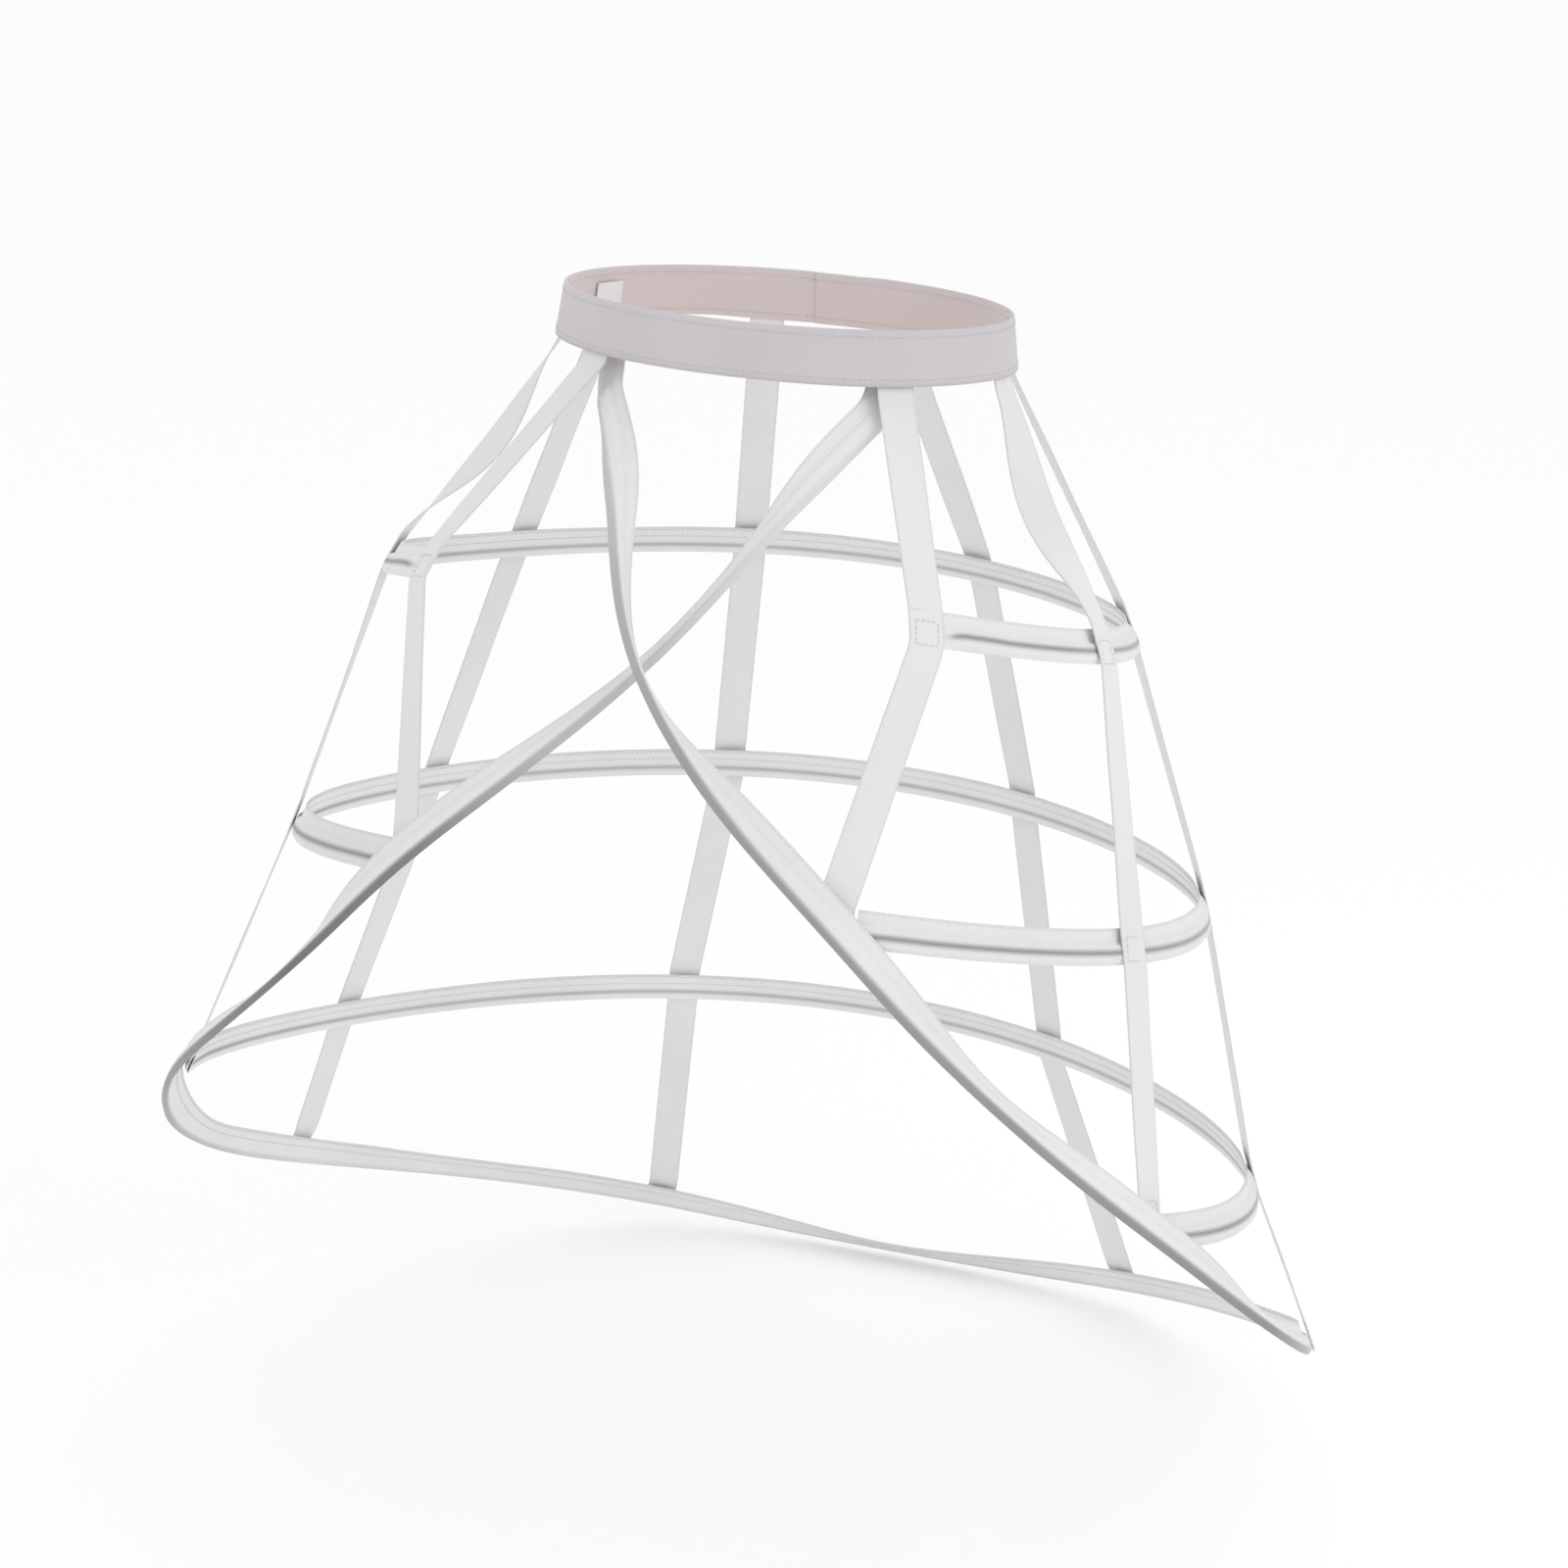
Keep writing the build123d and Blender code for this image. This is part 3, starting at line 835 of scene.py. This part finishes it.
def top_end(casing, side):
    """The middle and width direction of a loop end in the waistband, read from the CAD."""
    points = np.array([vertex.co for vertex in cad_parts[casing].data.vertices])
    points = points[points[:, 0] * side > 0]
    end = points[points[:, 2] > points[:, 2].max() - END_DEPTH]
    middle = end.mean(axis=0)
    return middle, np.linalg.svd((end - middle) * (1, 1, 0))[2][0]


def bezier(a, b, c, d):
    """Points on a curve from a to d, pulled towards b and c."""
    t = np.linspace(0, 1, CURVE_POINTS)[:, None]
    return a * (1 - t)**3 + b * (3 * t * (1 - t)**2) + c * (3 * t * t * (1 - t)) + d * t**3


def led_into_band(rows):
    """The loop's frames with their last end led into the waistband, and the length added."""
    last, across, out = (rows[key][-1] for key in ("middle", "across", "out"))
    top, level = top_end("crossing_loop_casing", 1 if last[0] > 0 else -1)
    if level @ across < 0:
        level = -level
    top = top - level * (FLANGE_UP - FLANGE_DOWN) / 2
    outward = unit((top * (1, 1, 0))[None])[0]
    leaving = np.array([top[0], top[1], EXIT_HEIGHT])
    pull = np.linalg.norm(leaving - last) / PULL_PART
    heading = unit((last - rows["middle"][-1 - HEADING_STEPS])[None])[0]
    curve = bezier(last, last + heading * pull, leaving - (0, 0, pull), leaving)
    joint = even_points(np.concatenate([curve, top[None]]), STEP)[1:]
    past_curve = path_lengths(joint)[-1] / path_lengths(curve)[-1]
    turn = eased(np.linspace(0, past_curve, len(joint) + 1)[1:, None])
    longer = {
        "middle": np.concatenate([rows["middle"], joint]),
        "across": unit(np.concatenate([rows["across"], across * (1 - turn) + level * turn])),
        "out": unit(np.concatenate([rows["out"], out * (1 - turn) + outward * turn])),
    }
    return longer, len(joint) * STEP


rows = upward(strip_frames("crossing_loop_bone", CASING_ROUNDING))
runs = []
for _ in range(2):
    rows, run = led_into_band(turned_round(rows))
    runs.append(run)
print("loop ends run on by", [round(run / MM) for run in runs], "mm")

# %% Ease the loop's roll
JOINT_ROUNDING = 5 * MM
EASE_REACH = 26 * MM
EASE_LIMIT = math.radians(6)
LEAST_TURN = EASE_LIMIT / 10
LIMIT_BLEND = 6 * MM
TIP_REACH = 12 * MM

middle = kept_round(rows["middle"], JOINT_ROUNDING)
length = path_lengths(middle)
bone_first, bone_last = runs[0], length[-1] - runs[1]
softer = unit(smoothed(rows["across"], EASE_REACH))
turned_by = np.arccos(np.clip((softer * rows["across"]).sum(axis=1), -1, 1))
boned = (length > bone_first - TIP_REACH) & (length < bone_last + TIP_REACH)
within = np.minimum(1, EASE_LIMIT / np.maximum(turned_by, LEAST_TURN))
allowed = smoothed(np.where(boned, within, 1)[:, None], LIMIT_BLEND)
rows = squared(middle, rows["across"] * (1 - allowed) + softer * allowed)
print("loop ribbon is", round(length[-1] / MM), "mm long, its bone",
      round((bone_last - bone_first) / MM), "mm")

# %% Lay the crossing loop
# Painted shade: how dark the loop's folded edge is painted along its length, darkest on the front
# arms and lightest near the waistband and round the back.
LOOP_SHADE = (  # share of the loop's length, and how dark its edge is there
    (0, 0.2), (0.03, 0.3), (0.06, 0.5), (0.1, 0.65), (0.27, 0.78), (0.33, 0.2), (0.67, 0.15),
    (0.75, 0.55), (0.83, 0.92), (0.87, 0.85), (0.9, 0.45), (0.94, 0.2), (1, 0.05))

shade = np.interp(length / length[-1], *zip(*LOOP_SHADE))
lay_casing("crossing_loop", rows, bone_first, bone_last, shade, bone_edge_and_painted_shade)
casing_frames["crossing_loop"] = rows
print("casings laid:", list(casing_frames))

# %% [markdown]
# ## Waistband
#
# The band is a stiff woven strip, folded over at its top edge, and lapped at the centre back. Its
# inner layer covers the ends of the tapes and of the loop, all but one that shows in the
# photograph, so it stands in further where an end lies under it. A second strip could line the
# band, but one folded strip closes the top edge by itself. Seen from the front, the far side shows
# its inner face, which carries an attribute that tints it with painted warm shade.

# %% Draw the band's section
BAND_HEIGHT = 30.3 * MM
BAND_THICKNESS = 2 * MM
BAND_LAYER = 0.9 * MM
BAND_COLUMNS = 12
TOP_FOLD_POINTS = 7

half = BAND_HEIGHT / 2
gap = (BAND_THICKNESS - BAND_LAYER) / 2
fold_start = half - gap - BAND_LAYER / 2
upright_places = np.linspace(-half + BAND_LAYER / 2, half - gap, BAND_COLUMNS)
upright_places[-1] = fold_start
arc = np.linspace(0, math.pi, TOP_FOLD_POINTS)[1:-1]
section = np.array([(u, gap) for u in upright_places]
                   + [(fold_start + gap * math.sin(a), gap * math.cos(a)) for a in arc]
                   + [(u, -gap) for u in upright_places[::-1]])
print("band section has", len(section), "points")

# %% Make room for the ends inside the band
BAND_ROUNDING = 6 * MM
LINING_EASE, LINING_FULL = 24 * MM, 0.5
LOW_EDGE = 0.5 * MM
SHOWING_END = "back_side_tape_left"

band_frames = upward(strip_frames("waistband", BAND_ROUNDING))
length = path_lengths(band_frames["middle"])
ends = [(rows["middle"], CASING_LAYER)
        for label, rows in tape_frames.items() if label != SHOWING_END]
ends.append((casing_frames["crossing_loop"]["middle"], RIDGE + CASING_LAYER))
lining = np.zeros(len(length))
for line, stand in ends:
    for spot in line[line[:, 2] > -LOW_EDGE]:
        offset = spot - band_frames["middle"]
        near = np.linalg.norm(offset, axis=1).argmin()
        depth = stand + BAND_LAYER / 2 - offset[near] @ band_frames["out"][near] - gap
        beside = (LINING_EASE - np.abs(length - length[near])) / LINING_EASE
        lining = np.maximum(lining, depth * eased(beside + LINING_FULL))
print("lining stands in by up to", round(lining.max() / MM, 1), "mm")

# %% Lay the waistband
BAND_WAVES, BAND_WAVE_REACH = (60 * MM, 90 * MM), 20 * MM
BAND_SWAY, BAND_RIPPLE = 0.5 * MM, 0.7 * MM
LINING_FALL = 8 * MM
INSIDE_BLEND = 2 * MM
band_wander = wander(length, BAND_WAVES, BAND_WAVE_REACH)


def band_shift(u, inside):
    """How far up and how far out the band's cloth strays, at heights across it."""
    low = np.clip(0.5 - u / BAND_HEIGHT, 0, 1)
    inner = np.outer(lining, eased((half - gap - u) / LINING_FALL) * inside)
    outs, ups = band_wander.T
    return BAND_SWAY * np.outer(ups, low), BAND_RIPPLE * np.outer(outs, low) - inner


ups, outs = band_shift(section[:, 0], section[:, 1] < 0)
spots = net(band_frames, section[:, 0] + ups, section[:, 1] + outs)
places = path_lengths(section)
band = lay_cloth("waistband_cloth", spots, places, length, BAND_LAYER)
band.data.materials.append(band_cloth)
across = sheet_places(band)[1]
# Painted warm shade on the band's inner face.
mark(band, "inside", np.clip((across - places[-1] / 2) / INSIDE_BLEND, 0, 1))
mark_edges(band, across)
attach(band, "root")
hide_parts("waistband")
print("band is", round(length[-1] / MM), "mm round, cut", round(places[-1] / MM), "mm wide")

# %% [markdown]
# ## Stitches
#
# A seam is a row of short thread bridges. One stitch is modelled from an icosphere, drawn out long
# and thin, and copied along each seam on both faces of the ribbon, because a machine seam shows on
# both. A bump in the material would be cheaper, but it vanishes where a seam is seen edge-on.

# %% Model one stitch
STITCH_LENGTH = 2.3 * MM
STITCH_WIDTH = 0.5 * MM
STITCH_FLATNESS = 0.8

bpy.ops.object.select_all(action="DESELECT")
bpy.ops.mesh.primitive_ico_sphere_add(subdivisions=1, radius=1)
stitch = bpy.context.object
bpy.ops.object.mode_set(mode="EDIT")
bpy.ops.transform.resize(value=(STITCH_LENGTH / 2, STITCH_WIDTH / 2,
                                STITCH_WIDTH / 2 * STITCH_FLATNESS))
bpy.ops.object.mode_set(mode="OBJECT")
stitch_spots = np.array([vertex.co for vertex in stitch.data.vertices])
stitch_faces = np.array([face.vertices for face in stitch.data.polygons])
bpy.data.objects.remove(stitch)
print("one stitch has", len(stitch_faces), "faces")

# %% Copy a stitch along seams
STITCH_PITCH = 3.0 * MM
AIM_REACH = 1 * MM


def stitches_along(points, outs):
    """The points of every stitch along one seam."""
    lengths = path_lengths(points)
    places = np.arange(STITCH_PITCH / 2, lengths[-1], STITCH_PITCH)
    here = at_places(places, lengths, points)
    facing = unit(at_places(places, lengths, outs))
    along = unit(at_places(np.minimum(places + AIM_REACH, lengths[-1]), lengths, points)
                 - at_places(np.maximum(places - AIM_REACH, 0), lengths, points))
    side = np.cross(facing, along)
    return [spot + stitch_spots @ np.stack(axes)
            for spot, *axes in zip(here, along, side, facing)]


def sew(name, seams):
    """One piece of all the stitches along seams, each a row of points and facing directions."""
    spots = [stitch for points, outs in seams for stitch in stitches_along(points, outs)]
    faces = [stitch_faces + count * len(stitch_spots) for count in range(len(spots))]
    mesh = bpy.data.meshes.new(name)
    mesh.from_pydata(np.concatenate(spots).tolist(), [], np.concatenate(faces).tolist())
    mesh.uv_layers.new(name="UVMap")
    mesh.materials.append(thread_white)
    piece = bpy.data.objects.new(name, mesh)
    bpy.context.collection.objects.link(piece)
    bpy.ops.object.select_all(action="DESELECT")
    piece.select_set(True)
    bpy.context.view_layer.objects.active = piece
    bpy.ops.object.shade_smooth()
    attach(piece, "root")
    print(name, "has", len(spots), "stitches")
    return piece


# %% Sew the casings
SEAM_PLACES = (7.2 * MM, 12.4 * MM)
THREAD_STAND = 0.18 * MM
FRONT_FACE = CASING_LAYER * (LAYER_GAP + 0.5) - RIDGE + THREAD_STAND
BACK_FACE = -RIDGE - THREAD_STAND


def seam(rows, across, out, facing):
    """A line beside frames, with the way its stitches face."""
    return rows["middle"] + rows["across"] * across + rows["out"] * out, rows["out"] * facing


for label, rows in casing_frames.items():
    seams = []
    for place in SEAM_PLACES:
        ups, outs = ruffle(label, np.array([place]))
        seams.append(seam(rows, place + ups, FRONT_FACE + outs, 1))
        seams.append(seam(rows, place + ups, BACK_FACE + outs, -1))
    piece = sew(f"{label}_seams", seams)

# %% Sew the band
BAND_SEAM = 4 * MM
BAND_FACE = BAND_THICKNESS / 2 + THREAD_STAND

band_seams = []
for place in (-half + BAND_SEAM, half - BAND_SEAM):
    for facing in (1, -1):
        ups, outs = band_shift(np.array([place]), np.array([facing < 0]))
        band_seams.append(seam(band_frames, place + ups, facing * BAND_FACE + outs, facing))
sew("waistband_seams", band_seams)

# %% [markdown]
# ## Box stitches
#
# Each tape is sewn to the hoops and to the loop wherever it meets them, by a small square of
# stitches. The squares could be placed by hand, but the frames already say where a tape and a
# casing come close, so they are found from there.

# %% Sew the tapes on
BOX_HALF = 6.5 * MM
BOX_CORNERS = ((-1, -1), (1, -1), (1, 1), (-1, 1), (-1, -1))
SEWN_WITHIN = 9 * MM
END_FRAMES = 2


def box_seam(rows, index, lift):
    """A square of stitches on a tape, round the place of one of its frames."""
    middle, across, out = (rows[key][index] for key in ("middle", "across", "out"))
    along = np.cross(out, across)
    points = np.array([middle + (along * a + across * b) * BOX_HALF + out * lift
                       for a, b in BOX_CORNERS])
    return points, np.repeat(out[None], len(points), axis=0)


boxes = []
for rows in tape_frames.values():
    for hoop_rows in casing_frames.values():
        reach = distances(rows["middle"], hoop_rows["middle"]).min(axis=1)
        if reach.min() < SEWN_WITHIN:
            place = min(max(reach.argmin(), END_FRAMES), len(reach) - 1 - END_FRAMES)
            boxes.append(box_seam(rows, place, TAPE_THICKNESS / 2 + THREAD_STAND))
sew("tape_box_seams", boxes)
print("tapes are sewn in", len(boxes), "places")

# %% [markdown]
# ## Bones and tips
#
# The bones and their caps stay as the CAD made them. They are hidden in their casings, and get a
# plain grey steel look in case a casing is opened. One flat grey would do, but a fine noise on
# Object coordinates keeps it from looking like plastic.

# %% Finish the bones
DARK_STEEL, LIGHT_STEEL = (0.42, 0.42, 0.44, 1), (0.52, 0.52, 0.54, 1)

steel, body = look("spring_bone", Roughness=0.45)
tree = steel.node_tree
place = tree.nodes.new("ShaderNodeTexCoord")
fine = node(tree, "ShaderNodeTexNoise", Scale=400.0, Detail=2.0)
tree.links.new(place.outputs["Object"], fine.inputs["Vector"])
ramp = tree.nodes.new("ShaderNodeValToRGB")
for stop, colour in zip(ramp.color_ramp.elements, (DARK_STEEL, LIGHT_STEEL)):
    stop.color = colour
tree.links.new(fine.outputs["Fac"], ramp.inputs["Fac"])
tree.links.new(ramp.outputs["Color"], body.inputs["Base Color"])
finished = [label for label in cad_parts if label.endswith(("_bone", "_tips"))]
for label in finished:
    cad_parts[label].data.materials.clear()
    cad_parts[label].data.materials.append(steel)
print("steel pieces:", finished)
